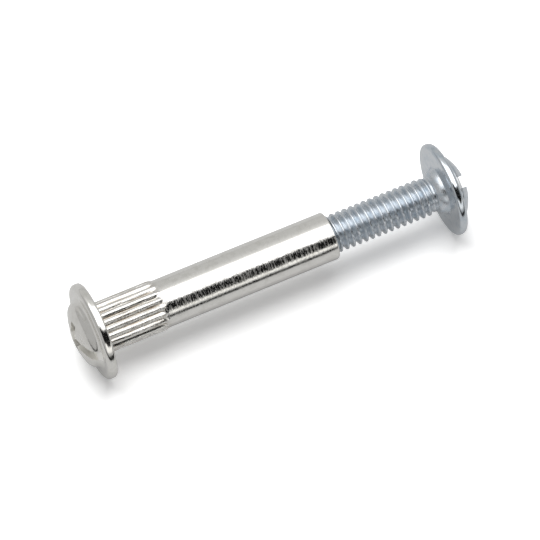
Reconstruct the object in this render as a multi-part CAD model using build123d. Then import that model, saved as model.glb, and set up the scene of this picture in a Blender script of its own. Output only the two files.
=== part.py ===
from build123d import *
import math
import os
from dataclasses import dataclass

# A binding barrel screw: a ribbed barrel nut, closed at its head, and the machine
# screw that turns into its open end. The pair lies along X. The origin is on the axis,
# in the plane of the nut head's bearing face, and +X points towards the screw's head.
# All sizes are in millimetres, and all angles in degrees.

# Thread, M4 coarse. Both threads are drawn plain, at their major diameters: the screw's
# is a little under the nominal size and the nut's a little over it.
THREAD_D = 4.0
THREAD_PITCH = 0.7
SCREW_THREAD_UNDERSIZE = 0.07
NUT_THREAD_OVERSIZE = 0.03

# How far the pair is screwed together: from bearing face to bearing face.
GRIP = 37.39

# Heads: a dome with a spherical crown and a rounded shoulder, on a thin flange.
NUT_FLANGE_D = 10.0
NUT_FLANGE_THICKNESS = 1.04
NUT_DOME_D = 7.16
NUT_DOME_RISE = 1.56
NUT_SHOULDER_ROUND = 1.16
NUT_FOOT_FLARE = 0.25
SCREW_FLANGE_D = 9.72
SCREW_FLANGE_THICKNESS = 0.92
SCREW_DOME_D = 6.8
SCREW_DOME_RISE = 1.68
SCREW_SHOULDER_ROUND = 0.85
SCREW_FOOT_FLARE = 0.35
FLANGE_BACK_CHAMFER = 0.18
RIM_ROUND = 0.6

# Drive, the same in both heads: a slot with a tapered cross recess in its middle.
SLOT_WIDTH = 1.15
SLOT_DEPTH = 1.12
CROSS_SPAN = 4.3
CROSS_WING_WIDTH = 1.05
CROSS_DEPTH = 2.1
CROSS_CORE_D = 1.7
CROSS_WING_DRAFT = 4.0

# How each piece happens to be turned about the axis, from +Y towards +Z.
NUT_DRIVE_TURN = 162.7
NUT_RIB_TURN = 117.7
SCREW_DRIVE_TURN = 117.7

# Barrel nut.
BARREL_D = 4.95
BARREL_LENGTH = 25.25
BARREL_END_CHAMFER = 0.15
BORE_DEPTH = 21.8
BORE_LEAD_IN = 0.2
DRILL_POINT_ANGLE = 118.0

# Ribbed band under the nut's head, which bites into the edge of the hole.
RIB_COUNT = 20
RIB_CREST_D = 5.26
RIB_ROOT_D = 4.8
RIB_CREST_WIDTH = 0.16
RIB_ROOT_WIDTH = 0.12
RIB_BAND_LENGTH = 6.9
RIB_RUN_OUT = 0.45

# Screw.
SCREW_LENGTH = 22.0
NECK_PITCHES = 1.2
COLLAR_D = 4.9
COLLAR_LENGTH = 1.0

# A rolled thread starts from wire of the pitch diameter, and is this deep.
WIRE_D = THREAD_D - 0.65 * THREAD_PITCH
THREAD_DEPTH = 0.613 * THREAD_PITCH


@dataclass(frozen=True)
class Head:
    """A domed head on a thin flange."""

    flange_d: float
    flange_thickness: float
    dome_d: float
    dome_rise: float
    shoulder_round: float
    foot_flare: float
    drive_turn: float

    @property
    def height(self):
        """From the bearing face to the top of the crown."""
        return self.flange_thickness + self.dome_rise

    def shoulder_d(self, rise):
        """The dome's diameter on its rounded shoulder, at a rise above the flange."""
        return self.dome_d - 2 * self.shoulder_round + 2 * math.sqrt(self.shoulder_round**2 - rise**2)


# The nut's head is made facing +X and then turned round, which mirrors the drive's turn.
NUT_HEAD = Head(
    NUT_FLANGE_D,
    NUT_FLANGE_THICKNESS,
    NUT_DOME_D,
    NUT_DOME_RISE,
    NUT_SHOULDER_ROUND,
    NUT_FOOT_FLARE,
    180 - NUT_DRIVE_TURN,
)
SCREW_HEAD = Head(
    SCREW_FLANGE_D,
    SCREW_FLANGE_THICKNESS,
    SCREW_DOME_D,
    SCREW_DOME_RISE,
    SCREW_SHOULDER_ROUND,
    SCREW_FOOT_FLARE,
    SCREW_DRIVE_TURN,
)


def across(x, outwards=1):
    """The plane across the axis at x, facing +X, or -X where outwards is -1."""
    return Plane((x, 0, 0), x_dir=(0, 1, 0), z_dir=(outwards, 0, 0))


def rod(diameter, start, length):
    """A plain cylinder on the X axis, from start towards +X."""
    return extrude(across(start) * Circle(diameter / 2), amount=length)


def turned(*outline):
    """What a lathe leaves of an outline of (x, radius) points, closed along the axis."""
    return revolve(make_face(Polyline(*outline, close=True)), Axis.X)


def cone(start_d, end_d, start, length):
    """A truncated cone on the X axis, from start towards +X."""
    end = start + length
    return turned((start, 0), (start, start_d / 2), (end, end_d / 2), (end, 0))


def dome(head):
    """The dome on its flange: a spherical crown that runs into the shoulder's round,
    which stands square on the flange."""
    foot_r = head.dome_d / 2
    shoulder = head.shoulder_round
    crown = (head.dome_rise**2 + foot_r**2 - 2 * foot_r * shoulder) / (2 * (head.dome_rise - shoulder))
    crown_centre = head.height - crown
    slope = math.atan2(foot_r - shoulder, head.flange_thickness - crown_centre)
    apex = (head.height, 0)
    meeting = (crown_centre + crown * math.cos(slope), crown * math.sin(slope))
    foot = (head.flange_thickness, foot_r)
    inside = head.flange_thickness / 2
    outline = [
        TangentArc(apex, meeting, tangent=(0, 1)),
        TangentArc(foot, meeting, tangent=(1, 0)),
        Polyline(foot, (inside, foot_r), (inside, 0), apex),
    ]
    return revolve(make_face(outline), Axis.X)


def drive(head):
    """What the header's punch presses into the dome: the slot right across it, and the
    tapered cross that meets the slot in the middle."""
    slot_floor = head.height - SLOT_DEPTH
    slot = extrude(across(slot_floor) * Rectangle(head.flange_d, SLOT_WIDTH), amount=2 * SLOT_DEPTH)
    wings = [
        extrude(
            across(head.height, outwards=-1) * Rot(0, 0, turn) * Rectangle(head.flange_d, CROSS_WING_WIDTH),
            amount=CROSS_DEPTH,
            taper=CROSS_WING_DRAFT,
        )
        for turn in (0, 90)
    ]
    reach = cone(CROSS_CORE_D, CROSS_SPAN, head.height - CROSS_DEPTH, CROSS_DEPTH)
    cross = (wings[0] + wings[1]) & reach
    return Rot(head.drive_turn, 0, 0) * (slot + cross)


def flange(head):
    """The flange: a flat bearing face, a small back chamfer, and a rim whose round runs
    from the front face over its widest line."""
    rim_r = head.flange_d / 2
    centre_x = head.flange_thickness - RIM_ROUND
    centre_r = rim_r - RIM_ROUND
    back = math.asin((centre_x - FLANGE_BACK_CHAMFER) / RIM_ROUND)
    meeting = (FLANGE_BACK_CHAMFER, centre_r + RIM_ROUND * math.cos(back))
    widest = (centre_x, rim_r)
    front = (head.flange_thickness, centre_r)
    outline = [
        ThreePointArc(meeting, widest, front),
        Polyline(front, (head.flange_thickness, 0), (0, 0), (0, meeting[1] - FLANGE_BACK_CHAMFER), meeting),
    ]
    return revolve(make_face(outline), Axis.X)


def domed_head(head):
    """A whole head, its bearing face at x = 0 and its crown towards +X."""
    flare_d = head.dome_d + 2 * head.foot_flare
    flare = cone(flare_d, head.shoulder_d(head.foot_flare), head.flange_thickness, head.foot_flare)
    return flange(head) + flare + dome(head) - drive(head)


def rib_section():
    """The ribbed band's outline: straight-sided ribs with narrow lands, evenly spaced."""
    crest_half = math.degrees(RIB_CREST_WIDTH / RIB_CREST_D)
    root_half = math.degrees(RIB_ROOT_WIDTH / RIB_ROOT_D)
    spacing = 360 / RIB_COUNT
    corners = []
    for rib in range(RIB_COUNT):
        valley = NUT_RIB_TURN + rib * spacing
        for diameter, angle in (
            (RIB_ROOT_D, valley - root_half),
            (RIB_ROOT_D, valley + root_half),
            (RIB_CREST_D, valley + spacing / 2 - crest_half),
            (RIB_CREST_D, valley + spacing / 2 + crest_half),
        ):
            corners.append(Vector(diameter / 2, 0).rotate(Axis.Z, angle))
    return make_face(Polyline(*corners, close=True))


def ribbed_band():
    """The ribs at full height, run out to nothing towards the plain barrel."""
    ribs = extrude(across(0) * rib_section(), amount=RIB_BAND_LENGTH)
    full_length = RIB_BAND_LENGTH - RIB_RUN_OUT
    return ribs & (rod(RIB_CREST_D, 0, full_length) + cone(RIB_CREST_D, RIB_ROOT_D, full_length, RIB_RUN_OUT))


def plain_barrel():
    """The smooth barrel, which blends down to the bottom of the rib valleys."""
    barrel = cone(RIB_ROOT_D, BARREL_D, RIB_BAND_LENGTH - RIB_RUN_OUT, RIB_RUN_OUT)
    barrel += rod(BARREL_D, RIB_BAND_LENGTH, BARREL_LENGTH - RIB_BAND_LENGTH)
    return chamfer(barrel.edges().sort_by(Axis.X)[-1], BARREL_END_CHAMFER)


def blind_bore():
    """The threaded hole, drilled from the open end, with its lead-in and drill point."""
    radius = (THREAD_D + NUT_THREAD_OVERSIZE) / 2
    floor = BARREL_LENGTH - BORE_DEPTH
    point = floor - radius / math.tan(math.radians(DRILL_POINT_ANGLE / 2))
    return turned(
        (point, 0),
        (floor, radius),
        (BARREL_LENGTH - BORE_LEAD_IN, radius),
        (BARREL_LENGTH, radius + BORE_LEAD_IN),
        (BARREL_LENGTH, 0),
    )


def barrel_nut():
    """The nut: head, ribbed band and barrel, turned and rolled from one bar."""
    head = Rot(0, 0, 180) * domed_head(NUT_HEAD)
    return head + ribbed_band() + plain_barrel() - blind_bore()


def screw():
    """The screw: head, collar, unthreaded neck and shank, upset and rolled from one wire."""
    head = Pos(GRIP, 0, 0) * domed_head(SCREW_HEAD)
    collar_start = GRIP - COLLAR_LENGTH
    neck_length = NECK_PITCHES * THREAD_PITCH
    thread_length = SCREW_LENGTH - COLLAR_LENGTH - neck_length
    collar = cone(WIRE_D, COLLAR_D, collar_start, COLLAR_LENGTH)
    neck = rod(WIRE_D, collar_start - neck_length, neck_length)
    shank = rod(THREAD_D - SCREW_THREAD_UNDERSIZE, GRIP - SCREW_LENGTH, thread_length)
    shank = chamfer(shank.edges().sort_by(Axis.X)[0], THREAD_DEPTH)
    return head + collar + neck + shank


def main():
    os.makedirs("parts", exist_ok=True)
    for name, make in (("barrel_nut", barrel_nut), ("screw", screw)):
        export_step(make(), f"parts/{name}.step")


main()
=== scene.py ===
"""The dressed model of a binding barrel screw, in a plain studio.

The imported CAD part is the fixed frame. The ribbed barrel nut and the machine screw are
modelled again here with their rounds, their ribs' ends and the rolled thread, and each
rides on its own body. Lengths in the classes are in millimetres, along and around the
part's own axis, which is X.
"""

import logging
import math
from collections.abc import Callable
from dataclasses import dataclass
from enum import Enum

import bmesh
import bpy
from mathutils import Matrix, Vector


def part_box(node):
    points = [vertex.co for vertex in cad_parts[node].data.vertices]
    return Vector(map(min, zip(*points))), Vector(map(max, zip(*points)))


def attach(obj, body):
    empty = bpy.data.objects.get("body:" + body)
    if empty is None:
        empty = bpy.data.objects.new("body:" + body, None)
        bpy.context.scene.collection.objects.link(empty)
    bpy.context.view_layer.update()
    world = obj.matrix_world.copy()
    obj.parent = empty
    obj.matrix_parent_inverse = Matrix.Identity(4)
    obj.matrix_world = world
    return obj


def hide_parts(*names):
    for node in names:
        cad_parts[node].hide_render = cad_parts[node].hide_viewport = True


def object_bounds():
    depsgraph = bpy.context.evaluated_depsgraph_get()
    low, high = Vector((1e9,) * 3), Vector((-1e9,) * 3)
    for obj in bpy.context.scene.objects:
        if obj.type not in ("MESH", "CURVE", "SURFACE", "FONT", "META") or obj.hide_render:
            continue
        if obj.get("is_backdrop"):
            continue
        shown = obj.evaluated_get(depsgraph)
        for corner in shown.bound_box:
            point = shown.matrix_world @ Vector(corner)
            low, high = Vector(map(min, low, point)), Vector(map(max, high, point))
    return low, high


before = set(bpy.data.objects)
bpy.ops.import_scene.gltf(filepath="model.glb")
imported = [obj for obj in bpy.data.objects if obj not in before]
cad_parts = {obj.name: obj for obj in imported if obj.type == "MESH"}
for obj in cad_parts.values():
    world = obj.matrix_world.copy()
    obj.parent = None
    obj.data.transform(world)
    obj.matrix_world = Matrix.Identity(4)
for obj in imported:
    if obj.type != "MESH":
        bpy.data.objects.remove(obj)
CAD_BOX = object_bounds()

LOG = logging.getLogger("binding_barrel_screw")
# Points closer than MERGE are one, or than JOIN where two meshes meet. An edge shorter
# than SLIVER is dropped.
MM = 0.001
MERGE = 1e-4 * MM
JOIN = MERGE * 10
SLIVER = MERGE / 10
SMOOTH_UP_TO = 32.0

Point = tuple[float, float]
Range = tuple[float, float]
Colour = tuple[float, float, float]
Triple = tuple[float, float, float]


class Slot(Enum):
    """The record's material slots."""

    NICKEL = "nickel_plate"
    ZINC = "zinc_plate"


class Body(Enum):
    """The bodies that the pieces ride on, which are also the CAD nodes' names."""

    NUT = "barrel_nut"
    SCREW = "screw"


# --------------------------------------------------------------------------- nodes


class Sock:
    """A node's output, on which Python's operators add Math nodes."""

    def __init__(self, bench: "Bench", socket: bpy.types.NodeSocket) -> None:
        """Wraps one output socket of a bench's tree."""
        self.bench = bench
        self.socket = socket

    def maths(self, operation: str, *values: object) -> "Sock":
        """Adds one Math node.

        Args:
            operation: the Math node's operation.
            values: its inputs in order.

        Returns:
            The node's result.
        """
        return self.bench.add("ShaderNodeMath", {"operation": operation}, dict(enumerate(values)))

    def __add__(self, other: object) -> "Sock":
        """self + other."""
        return self.maths("ADD", self, other)

    def __sub__(self, other: object) -> "Sock":
        """self - other."""
        return self.maths("SUBTRACT", self, other)

    def __rsub__(self, other: object) -> "Sock":
        """other - self."""
        return self.maths("SUBTRACT", other, self)

    def __mul__(self, other: object) -> "Sock":
        """self * other."""
        return self.maths("MULTIPLY", self, other)

    def __truediv__(self, other: object) -> "Sock":
        """self / other."""
        return self.maths("DIVIDE", self, other)

    def __pow__(self, other: object) -> "Sock":
        """self to the power of other."""
        return self.maths("POWER", self, other)

    def at_least(self, floor: float) -> "Sock":
        """self, or floor where self is lower."""
        return self.maths("MAXIMUM", self, floor)

    def at_most(self, ceiling: float) -> "Sock":
        """self, or ceiling where self is higher."""
        return self.maths("MINIMUM", self, ceiling)

    def size(self) -> "Sock":
        """self without its sign."""
        return self.maths("ABSOLUTE", self)

    def between(self, low: float, high: float) -> "Sock":
        """A smooth step.

        Args:
            low: up to where it is 0.
            high: from where it is 1.

        Returns:
            The step's value.
        """
        settings = {"interpolation_type": "SMOOTHSTEP"}
        inputs = {"Value": self, "From Min": low, "From Max": high}
        return self.bench.add("ShaderNodeMapRange", settings, inputs)


class Bench:
    """One node tree, and the one way in which its nodes are made."""

    def __init__(self, tree: bpy.types.NodeTree) -> None:
        """Takes a tree and clears it."""
        self.tree = tree
        tree.nodes.clear()

    def node(
        self, kind: str, settings: dict | None = None, inputs: dict | None = None
    ) -> bpy.types.Node:
        """Adds a node, sets its settings, then its sockets.

        Args:
            kind: the node's type.
            settings: its properties; "stops" is a ramp's list of (position, colour).
            inputs: values or links by socket identifier, name or index.

        Returns:
            The node.
        """
        node = self.tree.nodes.new(kind)
        for name, value in (settings or {}).items():
            if name == "stops":
                self.set_stops(node.color_ramp, value)
            else:
                setattr(node, name, value)
        for key, value in (inputs or {}).items():
            socket = self.find(node, key)
            if isinstance(value, Sock):
                self.tree.links.new(value.socket, socket)
            else:
                socket.default_value = value
        return node

    def add(
        self,
        kind: str,
        settings: dict | None = None,
        inputs: dict | None = None,
        out: str | int = 0,
    ) -> Sock:
        """Adds a node as node() does, and returns one of its outputs.

        Args:
            kind: the node's type.
            settings: its properties.
            inputs: values or links by socket.
            out: the output's identifier, name or index.

        Returns:
            The wrapped output.
        """
        node = self.node(kind, settings, inputs)
        if isinstance(out, int):
            return Sock(self, node.outputs[out])
        for socket in node.outputs:
            if out in (socket.identifier, socket.name):
                return Sock(self, socket)
        raise KeyError(f"{kind} has no output {out}")

    @staticmethod
    def find(node: bpy.types.Node, key: str | int) -> bpy.types.NodeSocket:
        """Finds a node's input.

        Args:
            node: the node.
            key: the input's index, identifier or name.

        Returns:
            The input.
        """
        if isinstance(key, int):
            return node.inputs[key]
        for socket in node.inputs:
            if socket.identifier == key:
                return socket
        return node.inputs[key]

    @staticmethod
    def set_stops(ramp: bpy.types.ColorRamp, stops: list[tuple[float, Colour]]) -> None:
        """Replaces a ramp's stops.

        Args:
            ramp: the ramp.
            stops: positions from 0 to 1, each with its colour.
        """
        while len(ramp.elements) > 1:
            ramp.elements.remove(ramp.elements[-1])
        ramp.elements[0].position = stops[0][0]
        ramp.elements[0].color = (*stops[0][1], 1.0)
        for position, colour in stops[1:]:
            ramp.elements.new(position).color = (*colour, 1.0)

    def mix(self, factor: object, a: object, b: object) -> Sock:
        """Mixes two colours, each a value or a link.

        Args:
            factor: 0 for the first, 1 for the second.
            a: the first.
            b: the second.

        Returns:
            The mixed colour.
        """
        tint = [(*c, 1.0) if isinstance(c, tuple) and len(c) == 3 else c for c in (a, b)]
        inputs = {"Factor_Float": factor, "A_Color": tint[0], "B_Color": tint[1]}
        return self.add("ShaderNodeMix", {"data_type": "RGBA"}, inputs, "Result_Color")

    def millimetres(self, stretch: Triple = (1.0, 1.0, 1.0)) -> Sock:
        """Object coordinates in millimetres.

        Args:
            stretch: a factor for each of x, y and z.

        Returns:
            The coordinates.
        """
        here = self.add("ShaderNodeTexCoord", out="Object")
        scale = tuple(s / MM for s in stretch)
        return self.add("ShaderNodeMapping", None, {"Vector": here, "Scale": scale})

    def parts(self, vector: Sock) -> list[Sock]:
        """A vector's x, y and z."""
        node = self.node("ShaderNodeSeparateXYZ", None, {0: vector})
        return [Sock(self, out) for out in node.outputs]


# ------------------------------------------------------------------------ finishes


@dataclass(frozen=True)
class Pattern:
    """A noise pattern on Object coordinates.

    The stretch is along and across the axis, the scale in features for each millimetre of
    stretched length, the detail in octaves, and rough says how much the finer ones weigh.
    """

    scale: float
    detail: float
    rough: float
    stretch: Triple = (1.0, 1.0, 1.0)

    def on(self, bench: Bench) -> Sock:
        """Adds the pattern to a material.

        Args:
            bench: the material's tree.

        Returns:
            The pattern's value, from about 0 to 1.
        """
        inputs = {
            "Vector": bench.millimetres(self.stretch),
            "Scale": self.scale,
            "Detail": self.detail,
            "Roughness": self.rough,
        }
        return bench.add("ShaderNodeTexNoise", None, inputs, "Fac")


# Turning rings, the marks that cut across them, and the peel's slow waver.
RINGS = Pattern(1.0, 3.0, 0.6, (9.0, 0.35, 0.35))
LINES = Pattern(1.0, 2.0, 0.6, (11.0, 1.4, 1.4))
WAVER = Pattern(1.0, 2.0, 0.6, (4.0, 1.3, 1.3))
# Cloudy patches, and a fine speckle over them.
CLOUD = Pattern(1.4, 3.0, 0.55)
FINE = Pattern(14.0, 2.0, 0.5)
# Marks drawn along the ribs, and hairlines between them.
DRAWN = Pattern(1.0, 3.0, 0.65, (0.7, 6.0, 6.0))
HAIR = Pattern(1.0, 2.0, 0.6, (0.5, 10.0, 10.0))


# A finish's colour, roughness and bump height, as they vary over the surface.
Surface = tuple[Sock, Sock, Sock]


@dataclass(frozen=True)
class Plate:
    """A plated steel finish: cloudy tone, turning marks, and an orange peel that wavers.

    The marks and the waver are strongest on one side of the barrel, at the angle marked.
    The walls of the pressed slot, which lies at recess_turn and beyond recess_from along the
    axis, have a rougher plate, and a paler colour that is painted light.
    """

    name: str
    slot: Slot
    colour: Colour
    shade: Colour
    tint: Colour
    roughness: float
    grain: float
    mottle: float
    waver: float
    scratch: float
    recess_turn: float
    recess_from: float
    recess_way: float
    # Painted light: the paler colour that the slot's walls are painted.
    recess_painted_light: Colour
    head_gloss: float = 0.0
    marked: float = math.radians(129)
    marked_side: Range = (0.88, 0.97)
    barrel_edge: Range = (2.6, 2.8)
    head_edge: Range = (2.5, 2.8)
    slot_wall: Range = (0.585, 0.60)
    slot_depth: Range = (0.0, 0.04)
    patches: Range = (0.42, 0.68)
    specks: Range = (0.55, 0.75)
    cuts: Range = (0.47, 0.60)
    speck_share: float = 0.5
    patch_rough: float = 0.05
    ring_rough: float = 0.06
    recess_rough: float = 0.3
    calm: float = 0.2

    def material(self) -> bpy.types.Material:
        """Makes the finish.

        Returns:
            The material, on Object coordinates.
        """
        material = bpy.data.materials.new(self.name)
        material.use_nodes = True
        bench = Bench(material.node_tree)
        rings, lines, waver, cloud, fine = (p.on(bench) for p in (RINGS, LINES, WAVER, CLOUD, FINE))
        patch = cloud.between(*self.patches)
        x, y, z = bench.parts(bench.millimetres())
        r = (y * y + z * z) ** 0.5
        facing = (y * math.cos(self.marked) + z * math.sin(self.marked)) / r
        marked = facing.between(*self.marked_side) * (1 - r.between(*self.barrel_edge))
        turn = math.radians(self.recess_turn)
        across = (y * math.sin(turn) - z * math.cos(turn)).size()
        beyond = ((x - self.recess_from) * self.recess_way).between(*self.slot_depth)
        recess = (1 - across.between(*self.slot_wall)) * beyond
        scratched = lines.between(*self.cuts) * marked * self.scratch
        colour = bench.mix(patch, self.colour, self.shade)
        colour = bench.mix(fine.between(*self.specks) * self.speck_share, colour, self.tint)
        # Painted light: the slot's walls are painted paler than the plate round them.
        colour = bench.mix(recess, colour, self.recess_painted_light)
        plain = self.roughness - r.between(*self.head_edge) * self.head_gloss
        ringed = plain + patch * self.patch_rough + (rings - 0.5) * self.ring_rough
        roughness = ringed + scratched + recess * self.recess_rough
        restless = marked * (1 - self.calm) + self.calm
        height = rings * self.grain + fine * self.mottle + waver * restless * self.waver
        # The ribbed plate paints shade into its valleys here.
        colour, roughness, height = self.wear_and_shade(bench, colour, roughness, height)
        bump = {"Height": height, "Distance": MM, "Strength": 1.0}
        normal = bench.add("ShaderNodeBump", None, bump)
        surface = bench.add(
            "ShaderNodeBsdfPrincipled",
            None,
            {"Base Color": colour, "Metallic": 1.0, "Roughness": roughness, "Normal": normal},
        )
        bench.node("ShaderNodeOutputMaterial", None, {"Surface": surface})
        return material

    def wear_and_shade(self, bench: Bench, colour: Sock, roughness: Sock, height: Sock) -> Surface:
        """What the finish does in its own places; plain plate does nothing."""
        return colour, roughness, height


@dataclass(frozen=True)
class RibbedPlate(Plate):
    """Plate on a ribbed band, where it lies rougher, has painted shade in its valleys and dark
    hairlines over it.
    """

    band_start: Range = (-0.1, 0.2)
    band_end: Range = (6.4, 6.9)
    core: Range = (2.2, 2.3)
    valley: Range = (2.40, 2.50)
    # Brownish dark: painted shade in the valleys, and the hairlines' dirt.
    dirt_and_shade: Colour = (0.40, 0.34, 0.27)
    valley_shade_marks: Range = (0.30, 0.62)
    hairlines: Range = (0.55, 0.61)
    hair_share: float = 0.62
    drawn_rough: float = 0.16
    drawn_height: float = 0.024

    def wear_and_shade(self, bench: Bench, colour: Sock, roughness: Sock, height: Sock) -> Surface:
        """Roughens the ribbed band, paints shade into its valleys and draws dark hairlines over it.

        Args:
            bench: the material's tree.
            colour: the plain plate's colour.
            roughness: its roughness.
            height: its bump height.

        Returns:
            The three again, changed on the band.
        """
        x, y, z = bench.parts(bench.millimetres())
        r = (y * y + z * z) ** 0.5
        band = x.between(*self.band_start) * (1 - x.between(*self.band_end))
        band = band * r.between(*self.core)
        drawn, hair = DRAWN.on(bench), HAIR.on(bench)
        # Painted shade: the valleys are darkened, broken up by the drawn marks; the hairlines are
        # dirt.
        low = (1 - r.between(*self.valley)) * band
        lined = band * hair.between(*self.hairlines) * self.hair_share
        shade_and_hair = low * drawn.between(*self.valley_shade_marks) + lined
        return (
            bench.mix(shade_and_hair.at_most(1.0), colour, self.dirt_and_shade),
            roughness + band * drawn * self.drawn_rough,
            height + band * drawn * self.drawn_height,
        )


NICKEL = RibbedPlate(
    name="bright_nickel_plate",
    slot=Slot.NICKEL,
    colour=(0.80, 0.79, 0.765),
    shade=(0.74, 0.73, 0.70),
    tint=(0.66, 0.62, 0.56),
    roughness=0.12,
    grain=0.0016,
    mottle=0.0006,
    waver=0.027,
    scratch=0.20,
    recess_turn=162.7,
    recess_from=-1.06,
    recess_way=-1.0,
    # Painted light on the slot's walls.
    recess_painted_light=(0.94, 0.93, 0.90),
)
ZINC = Plate(
    name="blue_zinc_plate",
    slot=Slot.ZINC,
    colour=(0.645, 0.68, 0.716),
    shade=(0.545, 0.602, 0.658),
    tint=(0.545, 0.565, 0.655),
    roughness=0.26,
    grain=0.0010,
    mottle=0.0012,
    waver=0.012,
    scratch=0.20,
    recess_turn=117.7,
    recess_from=38.33,
    recess_way=1.0,
    # Painted light on the slot's walls.
    recess_painted_light=(0.82, 0.84, 0.86),
    head_gloss=0.13,
)


# ------------------------------------------------------------------------ modelling


class Bed:
    """The modelling steps that every piece shares, made with Blender's own operators."""

    @staticmethod
    def clear_selection() -> None:
        """Deselects every object."""
        for thing in bpy.context.selected_objects:
            thing.select_set(False)

    @classmethod
    def choose(cls, piece: bpy.types.Object) -> None:
        """Makes one object the selected and active one.

        Args:
            piece: the object.
        """
        cls.clear_selection()
        piece.select_set(True)
        bpy.context.view_layer.objects.active = piece

    @staticmethod
    def select(piece: bpy.types.Object, test: Callable[[Vector], bool]) -> int:
        """Selects, in edit mode, the vertices that pass a test of their place.

        Args:
            piece: the object being edited.
            test: says whether a vertex, in millimetres, is wanted.

        Returns:
            How many are selected.
        """
        mesh = bmesh.from_edit_mesh(piece.data)
        chosen = 0
        for vertex in mesh.verts:
            vertex.select = test(vertex.co / MM)
            chosen += vertex.select
        mesh.select_flush_mode()
        bmesh.update_edit_mesh(piece.data)
        return chosen

    @classmethod
    def outline(cls, name: str, points: list[Point]) -> bpy.types.Object:
        """Draws a chain of edges in the plane above the axis, left in edit mode.

        Args:
            name: the new object's name.
            points: (x, radius) of each corner.

        Returns:
            The object.
        """
        cls.clear_selection()
        bpy.ops.mesh.primitive_circle_add(vertices=3, radius=MM, location=(0, 0, 0))
        piece = bpy.context.active_object
        piece.name = piece.data.name = name
        bpy.ops.object.mode_set(mode="EDIT")
        mesh = bmesh.from_edit_mesh(piece.data)
        first = mesh.verts[:1][0]
        bmesh.ops.delete(mesh, geom=[v for v in mesh.verts if v is not first], context="VERTS")
        first.co = Vector((points[0][0], points[0][1], 0)) * MM
        first.select = True
        bmesh.update_edit_mesh(piece.data)
        for (x0, r0), (x1, r1) in zip(points, points[1:]):
            step = (MM * (x1 - x0), MM * (r1 - r0), 0)
            bpy.ops.mesh.extrude_region_move(TRANSFORM_OT_translate={"value": step})
        return piece

    @staticmethod
    def spin(degrees: float, steps: int) -> None:
        """Spins the outline that is being edited about the axis.

        Args:
            degrees: how far it goes round.
            steps: how many steps that takes.
        """
        bpy.ops.mesh.select_all(action="SELECT")
        angle = math.radians(degrees)
        bpy.ops.mesh.spin(steps=steps, angle=angle, center=(0, 0, 0), axis=(1, 0, 0))

    @classmethod
    def tidy(cls, piece: bpy.types.Object) -> None:
        """Merges doubles and turns all faces outwards, then leaves edit mode.

        Args:
            piece: the object, in either mode.
        """
        if piece.mode != "EDIT":
            cls.choose(piece)
            bpy.ops.object.mode_set(mode="EDIT")
        bpy.ops.mesh.select_all(action="SELECT")
        bpy.ops.mesh.remove_doubles(threshold=MERGE)
        bpy.ops.mesh.dissolve_degenerate(threshold=SLIVER)
        bpy.ops.mesh.select_all(action="SELECT")
        bpy.ops.mesh.normals_make_consistent(inside=False)
        bpy.ops.object.mode_set(mode="OBJECT")

    @classmethod
    def copies_round(cls, piece: bpy.types.Object, count: int) -> None:
        """Repeats a sector evenly round the axis and joins the copies.

        Args:
            piece: the sector.
            count: how many make the whole round.
        """
        turn = bpy.data.objects.new("one_step_round", None)
        turn.rotation_euler = (math.tau / count, 0, 0)
        bpy.context.scene.collection.objects.link(turn)
        bpy.context.view_layer.update()
        cls.choose(piece)
        array = piece.modifiers.new("round", "ARRAY")
        array.count = count
        array.use_relative_offset = False
        array.use_object_offset = True
        array.offset_object = turn
        array.use_merge_vertices = False
        bpy.ops.object.modifier_apply(modifier=array.name)
        bpy.data.objects.remove(turn)

    @classmethod
    def cut(cls, piece: bpy.types.Object, tool: bpy.types.Object, how: str = "DIFFERENCE") -> None:
        """Cuts a piece with a tool, which is used up.

        Args:
            piece: the piece.
            tool: the cutter.
            how: the Boolean modifier's operation.
        """
        cls.choose(piece)
        cutter = piece.modifiers.new("cut", "BOOLEAN")
        cutter.operation = how
        cutter.solver = "EXACT"
        cutter.object = tool
        bpy.ops.object.modifier_apply(modifier=cutter.name)
        bpy.data.objects.remove(tool)

    @classmethod
    def finish(cls, piece: bpy.types.Object, finish: bpy.types.Material) -> None:
        """Shades a piece smooth up to an angle and gives it its finish.

        Args:
            piece: the modelled piece.
            finish: its material.
        """
        cls.choose(piece)
        bpy.ops.object.shade_smooth_by_angle(angle=math.radians(SMOOTH_UP_TO))
        piece.data.materials.clear()
        piece.data.materials.append(finish)


def arc(centre: Point, radius: float, start: float, end: float, steps: int) -> list[Point]:
    """Points along an arc in the outline's plane.

    Args:
        centre: (x, radius) of its centre.
        radius: its own radius.
        start: angle of its first point, in degrees from +X towards larger radius.
        end: angle of its last point.
        steps: how many chords it has.

    Returns:
        steps + 1 points.
    """
    angles = (math.radians(start + (end - start) * i / steps) for i in range(steps + 1))
    return [(centre[0] + radius * math.cos(a), centre[1] + radius * math.sin(a)) for a in angles]


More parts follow.
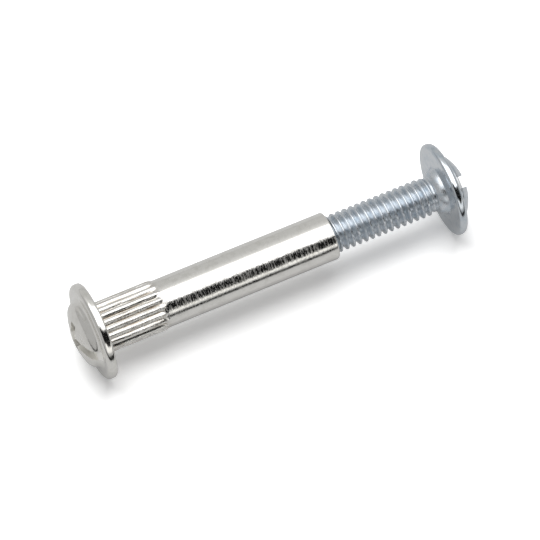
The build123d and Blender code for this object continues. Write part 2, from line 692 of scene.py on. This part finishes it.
@dataclass
class Drive:
    """The slot and the tapered cross that are pressed into a dome."""

    turn: float
    slot_width: float = 1.15
    slot_depth: float = 1.12
    cross_span: float = 4.3
    wing_width: float = 1.05
    cross_depth: float = 2.1
    core_d: float = 1.7
    draft: float = 4.0
    wing_length: float = 6.0
    slot_length: float = 12.0
    over: float = 0.4
    core_facets: int = 64

    @staticmethod
    def block(
        name: str, low: float, high: float, width: float, length: float, turn: float
    ) -> bpy.types.Object:
        """A straight-sided cutter lying across the axis.

        Args:
            name: the object's name.
            low: its lower end along the axis.
            high: its upper end.
            width: across the slot.
            length: along the slot.
            turn: how far it is turned about the axis, in degrees.

        Returns:
            The cutter.
        """
        Bed.clear_selection()
        bpy.ops.mesh.primitive_cube_add(size=1, location=((low + high) / 2 * MM, 0, 0))
        tool = bpy.context.active_object
        tool.name = name
        tool.scale = ((high - low) * MM, length * MM, width * MM)
        bpy.ops.object.transform_apply(location=True, rotation=True, scale=True)
        tool.rotation_euler = (math.radians(turn), 0, 0)
        bpy.ops.object.transform_apply(location=True, rotation=True, scale=True)
        return tool

    def wing(self, top: float, turn: float) -> bpy.types.Object:
        """One tapered wing of the cross, drawn in towards its foot.

        Args:
            top: where the crown's top is.
            turn: how far the wing is turned about the axis, in degrees.

        Returns:
            The wing, as a cutter.
        """
        low, high = top - self.cross_depth, top + self.over
        tool = self.block("wing", low, high, self.wing_width, self.wing_length, 0.0)
        narrow = 1 - 2 * self.cross_depth * math.tan(math.radians(self.draft)) / self.wing_width
        Bed.choose(tool)
        bpy.ops.object.mode_set(mode="EDIT")
        Bed.select(tool, lambda at: at.x < (low + high) / 2)
        bpy.ops.transform.resize(value=(1, 1, narrow), center_override=(low * MM, 0, 0))
        bpy.ops.object.mode_set(mode="OBJECT")
        tool.rotation_euler = (math.radians(turn), 0, 0)
        bpy.ops.object.transform_apply(location=True, rotation=True, scale=True)
        return tool

    def cutter(self, top: float) -> bpy.types.Object:
        """The whole drive as one cutter, on a head whose crown is at +X.

        Args:
            top: where the crown's top is.

        Returns:
            The cutter.
        """
        cross = self.wing(top, self.turn)
        Bed.cut(cross, self.wing(top, self.turn + 90), "UNION")
        over = self.over
        slope = (self.cross_span - self.core_d) / 2 / self.cross_depth
        Bed.clear_selection()
        bpy.ops.mesh.primitive_cone_add(
            vertices=self.core_facets,
            radius1=self.core_d / 2 * MM,
            radius2=(self.cross_span / 2 + slope * over) * MM,
            depth=(self.cross_depth + over) * MM,
            location=((top + (over - self.cross_depth) / 2) * MM, 0, 0),
            rotation=(0, math.pi / 2, 0),
        )
        reach = bpy.context.active_object
        bpy.ops.object.transform_apply(location=True, rotation=True, scale=True)
        Bed.cut(cross, reach, "INTERSECT")
        low, high = top - self.slot_depth, top + over
        slot = self.block("slot", low, high, self.slot_width, self.slot_length, self.turn)
        Bed.cut(cross, slot, "UNION")
        cross.name = "drive_cutter"
        return cross


@dataclass
class HeadForm:
    """A domed head on a thin flange, drawn with its bearing face at 0 and its crown at +X."""

    rim_r: float
    thickness: float
    dome_r: float
    rise: float
    shoulder: float
    foot: float
    back_round: float
    front_round: float
    crown_steps: int = 14
    shoulder_steps: int = 10
    foot_steps: int = 6
    front_steps: int = 9
    back_steps: int = 7

    @property
    def top(self) -> float:
        """From the bearing face to the crown's top."""
        return self.thickness + self.rise

    def outline(self) -> list[Point]:
        """The head's outline from the crown's pole to the flange's back edge.

        Returns:
            (x, radius) points.
        """
        crown = self.rise**2 + self.dome_r**2 - 2 * self.dome_r * self.shoulder
        crown /= 2 * (self.rise - self.shoulder)
        crown_x = self.top - crown
        shoulder_at = (self.thickness, self.dome_r - self.shoulder)
        meet = math.degrees(math.atan2(shoulder_at[1], shoulder_at[0] - crown_x))
        points = arc((crown_x, 0), crown, 0, meet, self.crown_steps)
        reach = math.sqrt((self.shoulder + self.foot) ** 2 - self.foot**2)
        touch = math.degrees(math.atan2(reach, self.foot))
        points += arc(shoulder_at, self.shoulder, meet, touch, self.shoulder_steps)[1:]
        foot_at = (self.thickness + self.foot, shoulder_at[1] + reach)
        points += arc(foot_at, self.foot, touch + 180, 180, self.foot_steps)[1:]
        front_at = (self.thickness - self.front_round, self.rim_r - self.front_round)
        points += arc(front_at, self.front_round, 0, 90, self.front_steps)
        back_at = (self.back_round, self.rim_r - self.back_round)
        points += arc(back_at, self.back_round, 90, 180, self.back_steps)
        return points


# --------------------------------------------------------------------------- pieces


@dataclass
class BarrelNut:
    """The ribbed barrel nut: domed head, ribbed band, plain barrel and blind hole."""

    head: HeadForm
    drive: Drive
    ribs: int = 20
    rib_turn: float = 117.7
    crest_r: float = 2.63
    valley_r: float = 2.40
    band_end: float = 6.9
    run_out: float = 0.75
    barrel_r: float = 2.475
    length: float = 25.25
    end_round: float = 0.2
    bore_r: float = 2.015
    bore_depth: float = 21.8
    lead_in: float = 0.2
    drill_half_angle: float = 59.0
    face_rings: Range = (4.0, 3.2)
    full_share: float = 0.88
    valley_land: float = 0.08
    flank: float = 0.84
    fullness: float = 0.8
    slant: float = 0.5
    wall: Range = (2.2, 2.6)
    row_slack: float = 2e-3
    columns: int = 12
    full_rows: int = 12
    end_rows: int = 8
    plain_rows: int = 10
    end_steps: int = 5

    def outline(self) -> list[Point]:
        """The whole nut's outline, from the crown's pole to the drill point.

        Returns:
            (x, radius) points.
        """
        r = self.barrel_r
        points = [(-x, r) for x, r in self.head.outline()]
        points += [(0.0, ring) for ring in self.face_rings]
        rows, ends, runs = self.full_rows, self.end_rows, self.plain_rows
        points += [(self.band_end * i / rows * self.full_share, r) for i in range(rows + 1)]
        start = self.band_end * self.full_share
        points += [(start + (self.band_end - start) * i / ends, r) for i in range(1, ends + 1)]
        last = self.length - self.end_round
        points += [(self.band_end + (last - self.band_end) * i / runs, r) for i in range(1, runs)]
        points += arc((last, r - self.end_round), self.end_round, 90, 0, self.end_steps)
        mouth = self.bore_r + self.lead_in
        floor = self.length - self.bore_depth
        points += [(self.length, mouth), (self.length - self.lead_in, self.bore_r)]
        points += [(floor, self.bore_r)]
        points += [(floor - self.bore_r / math.tan(math.radians(self.drill_half_angle)), 0.0)]
        return points

    def rib_r(self, x: float, across: float) -> float:
        """The band's radius.

        Args:
            x: along the axis.
            across: 0 in the middle of a valley, 1 on a crest.

        Returns:
            The radius there.
        """
        climb = min(max((across - self.valley_land) / self.flank, 0), 1)
        swell = math.sin(math.pi / 2 * climb) ** self.fullness
        ribbed = self.valley_r + (self.crest_r - self.valley_r) * swell
        tip = self.band_end - self.slant * self.run_out * (1 - across)
        gone = min(max((x - (tip - self.run_out)) / self.run_out, 0), 1)
        gone = gone * gone * (3 - 2 * gone)
        return ribbed + (self.barrel_r - ribbed) * gone

    def shape_ribs(self, piece: bpy.types.Object) -> None:
        """Pushes each row and column of one sector's band out or in to the ribs' form.

        Args:
            piece: one sector of the nut, in edit mode.
        """
        sector = 360 / self.ribs
        half = self.columns // 2
        inner, outer = self.wall
        slack = self.row_slack
        rows = set()
        for vertex in bmesh.from_edit_mesh(piece.data).verts:
            x, y, z = vertex.co / MM
            if -slack < x < self.band_end + slack and math.hypot(y, z) < outer:
                rows.add(round(x, 4))
        for row in sorted(rows):
            for column in range(half + 1):
                factor = self.rib_r(row, column / half) / self.barrel_r

                def here(at: Vector) -> bool:
                    """Whether a vertex is in this row, and in this column or its mirror.

                    Args:
                        at: the vertex's place.

                    Returns:
                        True where it is.
                    """
                    if abs(at.x - row) > slack:
                        return False
                    if not inner < math.hypot(at.y, at.z) < outer:
                        return False
                    angle = math.degrees(math.atan2(at.z, at.y))
                    place = round(angle / sector * self.columns) % self.columns
                    return min(place, self.columns - place) == column

                if Bed.select(piece, here):
                    bpy.ops.transform.resize(value=(1, factor, factor), center_override=(0, 0, 0))

    def build(self) -> bpy.types.Object:
        """Models the nut.

        Returns:
            The finished mesh, not yet dressed.
        """
        piece = Bed.outline("ribbed_barrel_nut", self.outline())
        Bed.spin(360 / self.ribs, self.columns)
        self.shape_ribs(piece)
        bpy.ops.object.mode_set(mode="OBJECT")
        Bed.copies_round(piece, self.ribs)
        Bed.tidy(piece)
        piece.rotation_euler = (math.radians(self.rib_turn), 0, 0)
        Bed.choose(piece)
        bpy.ops.object.transform_apply(location=True, rotation=True, scale=True)
        tool = self.drive.cutter(self.head.top)
        tool.rotation_euler = (0, 0, math.pi)
        Bed.choose(tool)
        bpy.ops.object.transform_apply(location=True, rotation=True, scale=True)
        Bed.cut(piece, tool)
        return piece


@dataclass
class MachineScrew:
    """The machine screw: domed head, flared collar, plain neck and rolled thread."""

    head: HeadForm
    drive: Drive
    grip: float = 37.39
    tip: float = 15.39
    pitch: float = 0.7
    crest_r: float = 1.965
    root_r: float = 1.545
    neck_r: float = 1.7725
    thread_end: float = 36.3
    run_out: float = 0.8
    collar_r: float = 2.45
    collar_length: float = 1.0
    collar_round: float = 0.12
    collar_taper: float = 0.4
    collar_steps: int = 9
    round_steps: int = 4
    face_ring: float = 3.6
    tip_inset: float = 0.05
    tip_slack: float = 1e-3
    flank_foot: float = 0.92
    flank: float = 0.74
    softness: float = 0.45
    ridge_rows: int = 14
    columns: int = 96
    phase: float = 0.512
    early_turns: int = 2

    @property
    def neck_end(self) -> float:
        """Where the plain neck meets the collar."""
        return self.grip - self.collar_length

    def ridge(self) -> list[Point]:
        """One pitch of the thread's outline, from one root to the next.

        Returns:
            (x, radius) points.
        """
        depth = self.crest_r - self.root_r
        points = []
        for i in range(self.ridge_rows + 1):
            along = i / self.ridge_rows
            across = abs(along - 0.5) * 2
            rise = min(max((self.flank_foot - across) / self.flank, 0), 1)
            soft = rise * rise * (3 - 2 * rise)
            height = (1 - self.softness) * rise + self.softness * soft
            points.append((along * self.pitch, self.root_r + depth * height))
        return points

    def fade(self, x: float) -> float:
        """How much of the thread stands at x: 1 on the shank, 0 on the neck."""
        t = min(max((x - (self.thread_end - self.run_out)) / self.run_out, 0), 1)
        return 1 - t * t * (3 - 2 * t)

    def thread(self) -> bpy.types.Object:
        """Rolls the thread as one continuous wall, with a flat ring at each end.

        The wall starts its early turns before the tip, so that its open edge lies wholly
        before the tip, whatever the phase is. Trimming then closes that edge into the ring.

        Returns:
            The open shank, in object mode.
        """
        turns = math.ceil((self.thread_end - self.tip) / self.pitch) + self.early_turns + 1
        start = self.tip - self.early_turns * self.pitch + self.phase
        points = [(start + x, r) for x, r in self.ridge()]
        piece = Bed.outline("machine_screw", points)
        bpy.ops.object.mode_set(mode="OBJECT")
        Bed.choose(piece)
        helix = piece.modifiers.new("helix", "SCREW")
        helix.axis = "X"
        helix.angle = math.tau
        helix.screw_offset = self.pitch * MM
        helix.iterations = turns
        helix.steps = helix.render_steps = self.columns
        helix.use_merge_vertices = True
        helix.merge_threshold = MERGE
        bpy.ops.object.modifier_apply(modifier=helix.name)
        bpy.ops.object.mode_set(mode="EDIT")
        bpy.ops.mesh.select_all(action="SELECT")
        bpy.ops.mesh.remove_doubles(threshold=MERGE)
        self.trim(piece)
        return piece

    def trim(self, piece: bpy.types.Object) -> None:
        """Runs the thread out into the neck, chamfers its tip and squares both ends.

        Args:
            piece: the rolled wall, in edit mode.
        """
        mesh = bmesh.from_edit_mesh(piece.data)
        for vertex in mesh.verts:
            x, y, z = vertex.co / MM
            r = math.hypot(y, z)
            wanted = self.neck_r + (r - self.neck_r) * self.fade(x)
            wanted = min(wanted, self.root_r - self.tip_inset + max(x - self.tip, 0))
            held = min(max(x, self.tip), self.neck_end)
            vertex.co = Vector((held, y / r * wanted, z / r * wanted)) * MM
        bmesh.update_edit_mesh(piece.data)
        bpy.ops.mesh.select_all(action="SELECT")
        bpy.ops.mesh.remove_doubles(threshold=MERGE)
        bpy.ops.mesh.dissolve_degenerate(threshold=MERGE)

    def head_outline(self) -> list[Point]:
        """The head's and the swelling collar's outline, from the crown's pole to the neck.

        Returns:
            (x, radius) points.
        """
        points = [(self.grip + x, r) for x, r in self.head.outline()]
        points += [(self.grip, self.face_ring), (self.grip, self.collar_r + self.collar_round)]
        corner = (self.grip - self.collar_round, self.collar_r + self.collar_round)
        points += arc(corner, self.collar_round, 0, -90, self.round_steps)
        length = self.collar_length - self.collar_round
        for i in range(self.collar_steps, -1, -1):
            along = i / self.collar_steps
            bulge = math.sqrt(1 - (1 - along) ** 2)
            swell = self.collar_taper * along + (1 - self.collar_taper) * bulge
            wide = self.neck_r + swell * (self.collar_r - self.neck_r)
            points.append((self.neck_end + along * length, wide))
        return points

    def build(self) -> bpy.types.Object:
        """Models the screw.

        Returns:
            The finished mesh, not yet dressed.
        """
        shank = self.thread()
        bpy.ops.object.mode_set(mode="OBJECT")
        head = Bed.outline("head", self.head_outline())
        Bed.spin(360, self.columns)
        Bed.tidy(head)
        Bed.choose(shank)
        head.select_set(True)
        bpy.ops.object.join()
        bpy.ops.object.mode_set(mode="EDIT")
        bpy.ops.mesh.select_all(action="SELECT")
        bpy.ops.mesh.remove_doubles(threshold=JOIN)
        Bed.select(shank, lambda at: abs(at.x - self.tip) < self.tip_slack)
        bpy.ops.mesh.edge_face_add()
        Bed.tidy(shank)
        Bed.cut(shank, self.drive.cutter(self.grip + self.head.top))
        return shank


# --------------------------------------------------------------------------- studio


@dataclass(frozen=True)
class Studio:
    """A plain pale floor under a broad soft light, with a darker front.

    The camera sees a white floor and a white world. Reflections see a duller floor, with a
    black strip along the front, and bands of light and dark round the part's axis.
    """

    floor_colour: Colour = (0.335, 0.335, 0.332)
    floor_glow: Colour = (0.255, 0.255, 0.255)
    unlit: Colour = (0.0, 0.0, 0.0)
    wall: Colour = (0.267, 0.267, 0.263)
    flank: Colour = (0.222, 0.222, 0.22)
    skew: float = 0.18
    skew_limit: float = 0.03
    card: Colour = (0.0045, 0.0045, 0.0045)
    softbox: Colour = (0.93, 0.93, 0.93)
    front: Colour = (0.533, 0.528, 0.512)
    strip: tuple[float, float, float, float] = (20.0, 24.0, 48.0, 62.0)
    left_side: Range = (0.46, 0.58)
    right_side: Range = (0.80, 0.92)
    strength: float = 2.2
    paper: Colour = (1.0, 1.0, 1.0)
    lift: Colour = (0.325, 0.325, 0.325)
    fade_out: Range = (70.0, 220.0)
    key_power: float = 2.36
    key_height: float = 0.40
    key_width: float = 0.408
    key_lean: float = 15.1
    floor_size: float = 4.0
    skew_from: float = 0.15
    horizon: Range = (0.0, 0.2)

    def floor(self) -> bpy.types.Object:
        """Lays the floor under the part and marks it as stage.

        Returns:
            The floor.
        """
        Bed.clear_selection()
        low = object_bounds()[0][2]
        bpy.ops.mesh.primitive_plane_add(size=self.floor_size, location=(0, 0, low))
        floor = bpy.context.active_object
        floor.name = "studio_floor"
        material = bpy.data.materials.new("pale_floor")
        material.use_nodes = True
        bench = Bench(material.node_tree)
        path = bench.node("ShaderNodeLightPath")
        seen = Sock(bench, path.outputs["Is Camera Ray"])
        x, y, _ = bench.parts(bench.millimetres())
        front = 0 - y
        far = ((x * x + y * y) ** 0.5).between(*self.fade_out)
        strip = front.between(*self.strip[:2]) * (1 - front.between(*self.strip[2:]))
        mirrored = (self.floor_colour, self.floor_glow), (self.card, self.unlit)
        direct = (self.paper, self.lift), (self.unlit, self.paper)
        dull = self.glowing(bench, strip, *mirrored)
        lit = self.glowing(bench, far, *direct)
        surface = bench.add("ShaderNodeMixShader", None, {0: seen, 1: dull, 2: lit})
        bench.node("ShaderNodeOutputMaterial", None, {"Surface": surface})
        floor.data.materials.append(material)
        floor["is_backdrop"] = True
        return floor

    @staticmethod
    def glowing(
        bench: Bench, factor: Sock, near: tuple[Colour, Colour], there: tuple[Colour, Colour]
    ) -> Sock:
        """A matt shader that glows a little, and goes over to another by a factor.

        Args:
            bench: the material's tree.
            factor: 0 for the first, 1 for the second.
            near: the first one's colour and glow.
            there: the second one's colour and glow.

        Returns:
            The shader.
        """
        colour, glow = (bench.mix(factor, a, b) for a, b in zip(near, there))
        matt = bench.add("ShaderNodeBsdfDiffuse", None, {"Color": colour})
        haze = bench.add("ShaderNodeEmission", None, {"Color": glow})
        return bench.add("ShaderNodeAddShader", None, {0: matt, 1: haze})

    def bands(self) -> list[tuple[float, Colour]]:
        """What stands round the part, by angle about its axis.

        Returns:
            Ramp stops over a half turn from the back horizon over the top to the front.
        """
        angles = [
            (0, self.wall),
            (36, (0.28, 0.28, 0.276)),
            (54, (0.35, 0.35, 0.346)),
            (61, (0.42, 0.42, 0.416)),
            (68, self.softbox),
            (121.5, self.softbox),
            (125.5, self.card),
            (164.5, self.card),
            (167.0, self.front),
            (180, self.front),
        ]
        return [(0.5 + angle / 360, colour) for angle, colour in angles]

    def world(self) -> None:
        """Sets the world: bands for reflections, white for the camera, dark for the rest."""
        world = bpy.data.worlds.new("studio")
        bpy.context.scene.world = world
        world.use_nodes = True
        bench = Bench(world.node_tree)
        way = bench.add("ShaderNodeTexCoord", out="Generated")
        x, y, z = bench.parts(way)
        slant = ((self.skew_from - x).at_least(0.0) * self.skew).at_most(self.skew_limit)
        turn = z.maths("ARCTAN2", z, y) / math.tau + 0.5 + slant * z.between(*self.horizon)
        stops = [(0.0, self.wall), *self.bands()]
        along = bench.add("ShaderNodeValToRGB", {"stops": stops}, {"Fac": turn}, "Color")
        sideways = (0 - x).between(*self.left_side) + x.between(*self.right_side)
        shown = bench.mix(sideways, along, self.flank)
        path = bench.node("ShaderNodeLightPath")
        seen = Sock(bench, path.outputs["Is Camera Ray"])
        mirrored = Sock(bench, path.outputs["Is Glossy Ray"])
        lit = bench.add("ShaderNodeBackground", None, {"Color": shown, "Strength": self.strength})
        dark = bench.add("ShaderNodeBackground", None, {"Color": (*self.unlit, 1.0)})
        white = bench.add("ShaderNodeBackground", None, {"Color": (*self.paper, 1.0)})
        around = bench.add("ShaderNodeMixShader", None, {0: mirrored, 1: dark, 2: lit})
        surface = bench.add("ShaderNodeMixShader", None, {0: seen, 1: around, 2: white})
        bench.node("ShaderNodeOutputWorld", None, {"Surface": surface})

    def key(self) -> bpy.types.Object:
        """Hangs the key light, a round soft lamp over the part and a little behind it.

        Returns:
            The lamp.
        """
        lamp = bpy.data.lights.new("key", "AREA")
        lamp.shape = "DISK"
        lamp.size = self.key_width
        lamp.energy = self.key_power
        key = bpy.data.objects.new("key", lamp)
        lean = math.radians(self.key_lean)
        middle = (CAD_BOX[0][0] + CAD_BOX[1][0]) / 2
        key.location = (middle, self.key_height * math.sin(lean), self.key_height * math.cos(lean))
        key.rotation_euler = (-lean, 0, 0)
        key.visible_glossy = False
        bpy.context.scene.collection.objects.link(key)
        return key

    def set_up(self) -> None:
        """Makes the floor, the world and the key light, and sets how colours are shown."""
        self.floor()
        self.world()
        self.key()
        bpy.context.scene.view_settings.view_transform = "Standard"


@dataclass(frozen=True)
class Viewpoint:
    """The camera: a long lens from above the front of the nut's head."""

    azimuth: float = -25.15
    elevation: float = 59.9
    distance: float = 0.530
    lens: float = 356.9
    aim_x: float = 0.01805
    shift_right: float = -0.000574
    shift_up: float = 0.000792
    sensor: float = 36.0
    nearest: float = 0.01
    farthest: float = 20.0

    def place(self) -> bpy.types.Object:
        """Makes the scene's camera.

        Returns:
            The camera.
        """
        az, el = math.radians(self.azimuth), math.radians(self.elevation)
        towards = Vector((math.cos(el) * math.sin(az), -math.cos(el) * math.cos(az), math.sin(el)))
        right = Vector((math.cos(az), math.sin(az), 0))
        up = towards.cross(right)
        aim = Vector((self.aim_x, 0, 0)) - self.shift_right * right - self.shift_up * up
        turn = Matrix((right, up, towards)).transposed().to_4x4()
        camera = bpy.data.objects.new("camera", bpy.data.cameras.new("camera"))
        camera.data.lens = self.lens
        camera.data.sensor_width = self.sensor
        camera.data.clip_start = self.nearest
        camera.data.clip_end = self.farthest
        camera.matrix_world = Matrix.Translation(aim + self.distance * towards) @ turn
        bpy.context.scene.collection.objects.link(camera)
        bpy.context.scene.camera = camera
        return camera


# ---------------------------------------------------------------------------- scene


def nut_from_frame() -> BarrelNut:
    """The nut, with its rim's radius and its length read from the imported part.

    Its head is drawn facing +X and turned round, which mirrors the drive's turn.

    Returns:
        The nut's class, ready to build.
    """
    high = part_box(Body.NUT.value)[1]
    head = HeadForm(
        rim_r=high.y / MM,
        thickness=1.04,
        dome_r=3.50,
        rise=1.56,
        shoulder=1.10,
        foot=0.68,
        back_round=0.3,
        front_round=0.47,
    )
    return BarrelNut(head, Drive(180 - NICKEL.recess_turn), length=high.x / MM)


def screw_from_frame() -> MachineScrew:
    """The screw, with its rim's radius and its tip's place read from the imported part.

    Returns:
        The screw's class, ready to build.
    """
    low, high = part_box(Body.SCREW.value)
    head = HeadForm(
        rim_r=high.y / MM,
        thickness=0.92,
        dome_r=3.4,
        rise=1.68,
        shoulder=0.85,
        foot=0.45,
        back_round=0.34,
        front_round=0.48,
    )
    return MachineScrew(head, Drive(ZINC.recess_turn), tip=low.x / MM)


def dress(piece: bpy.types.Object, body: Body, plate: Plate) -> None:
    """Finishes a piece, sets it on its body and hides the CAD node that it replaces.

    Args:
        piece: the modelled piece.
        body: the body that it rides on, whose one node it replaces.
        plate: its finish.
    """
    Bed.finish(piece, plate.material())
    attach(piece, body.value)
    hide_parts(body.value)
    LOG.info("%s: %d faces, rides on %s", piece.name, len(piece.data.polygons), body.value)


def main() -> None:
    """Builds the scene: camera, studio, nut, screw."""
    logging.basicConfig(level=logging.INFO, format="%(name)s: %(message)s")
    Viewpoint().place()
    Studio().set_up()
    dress(nut_from_frame().build(), Body.NUT, NICKEL)
    dress(screw_from_frame().build(), Body.SCREW, ZINC)


if __name__ == "__main__":
    main()
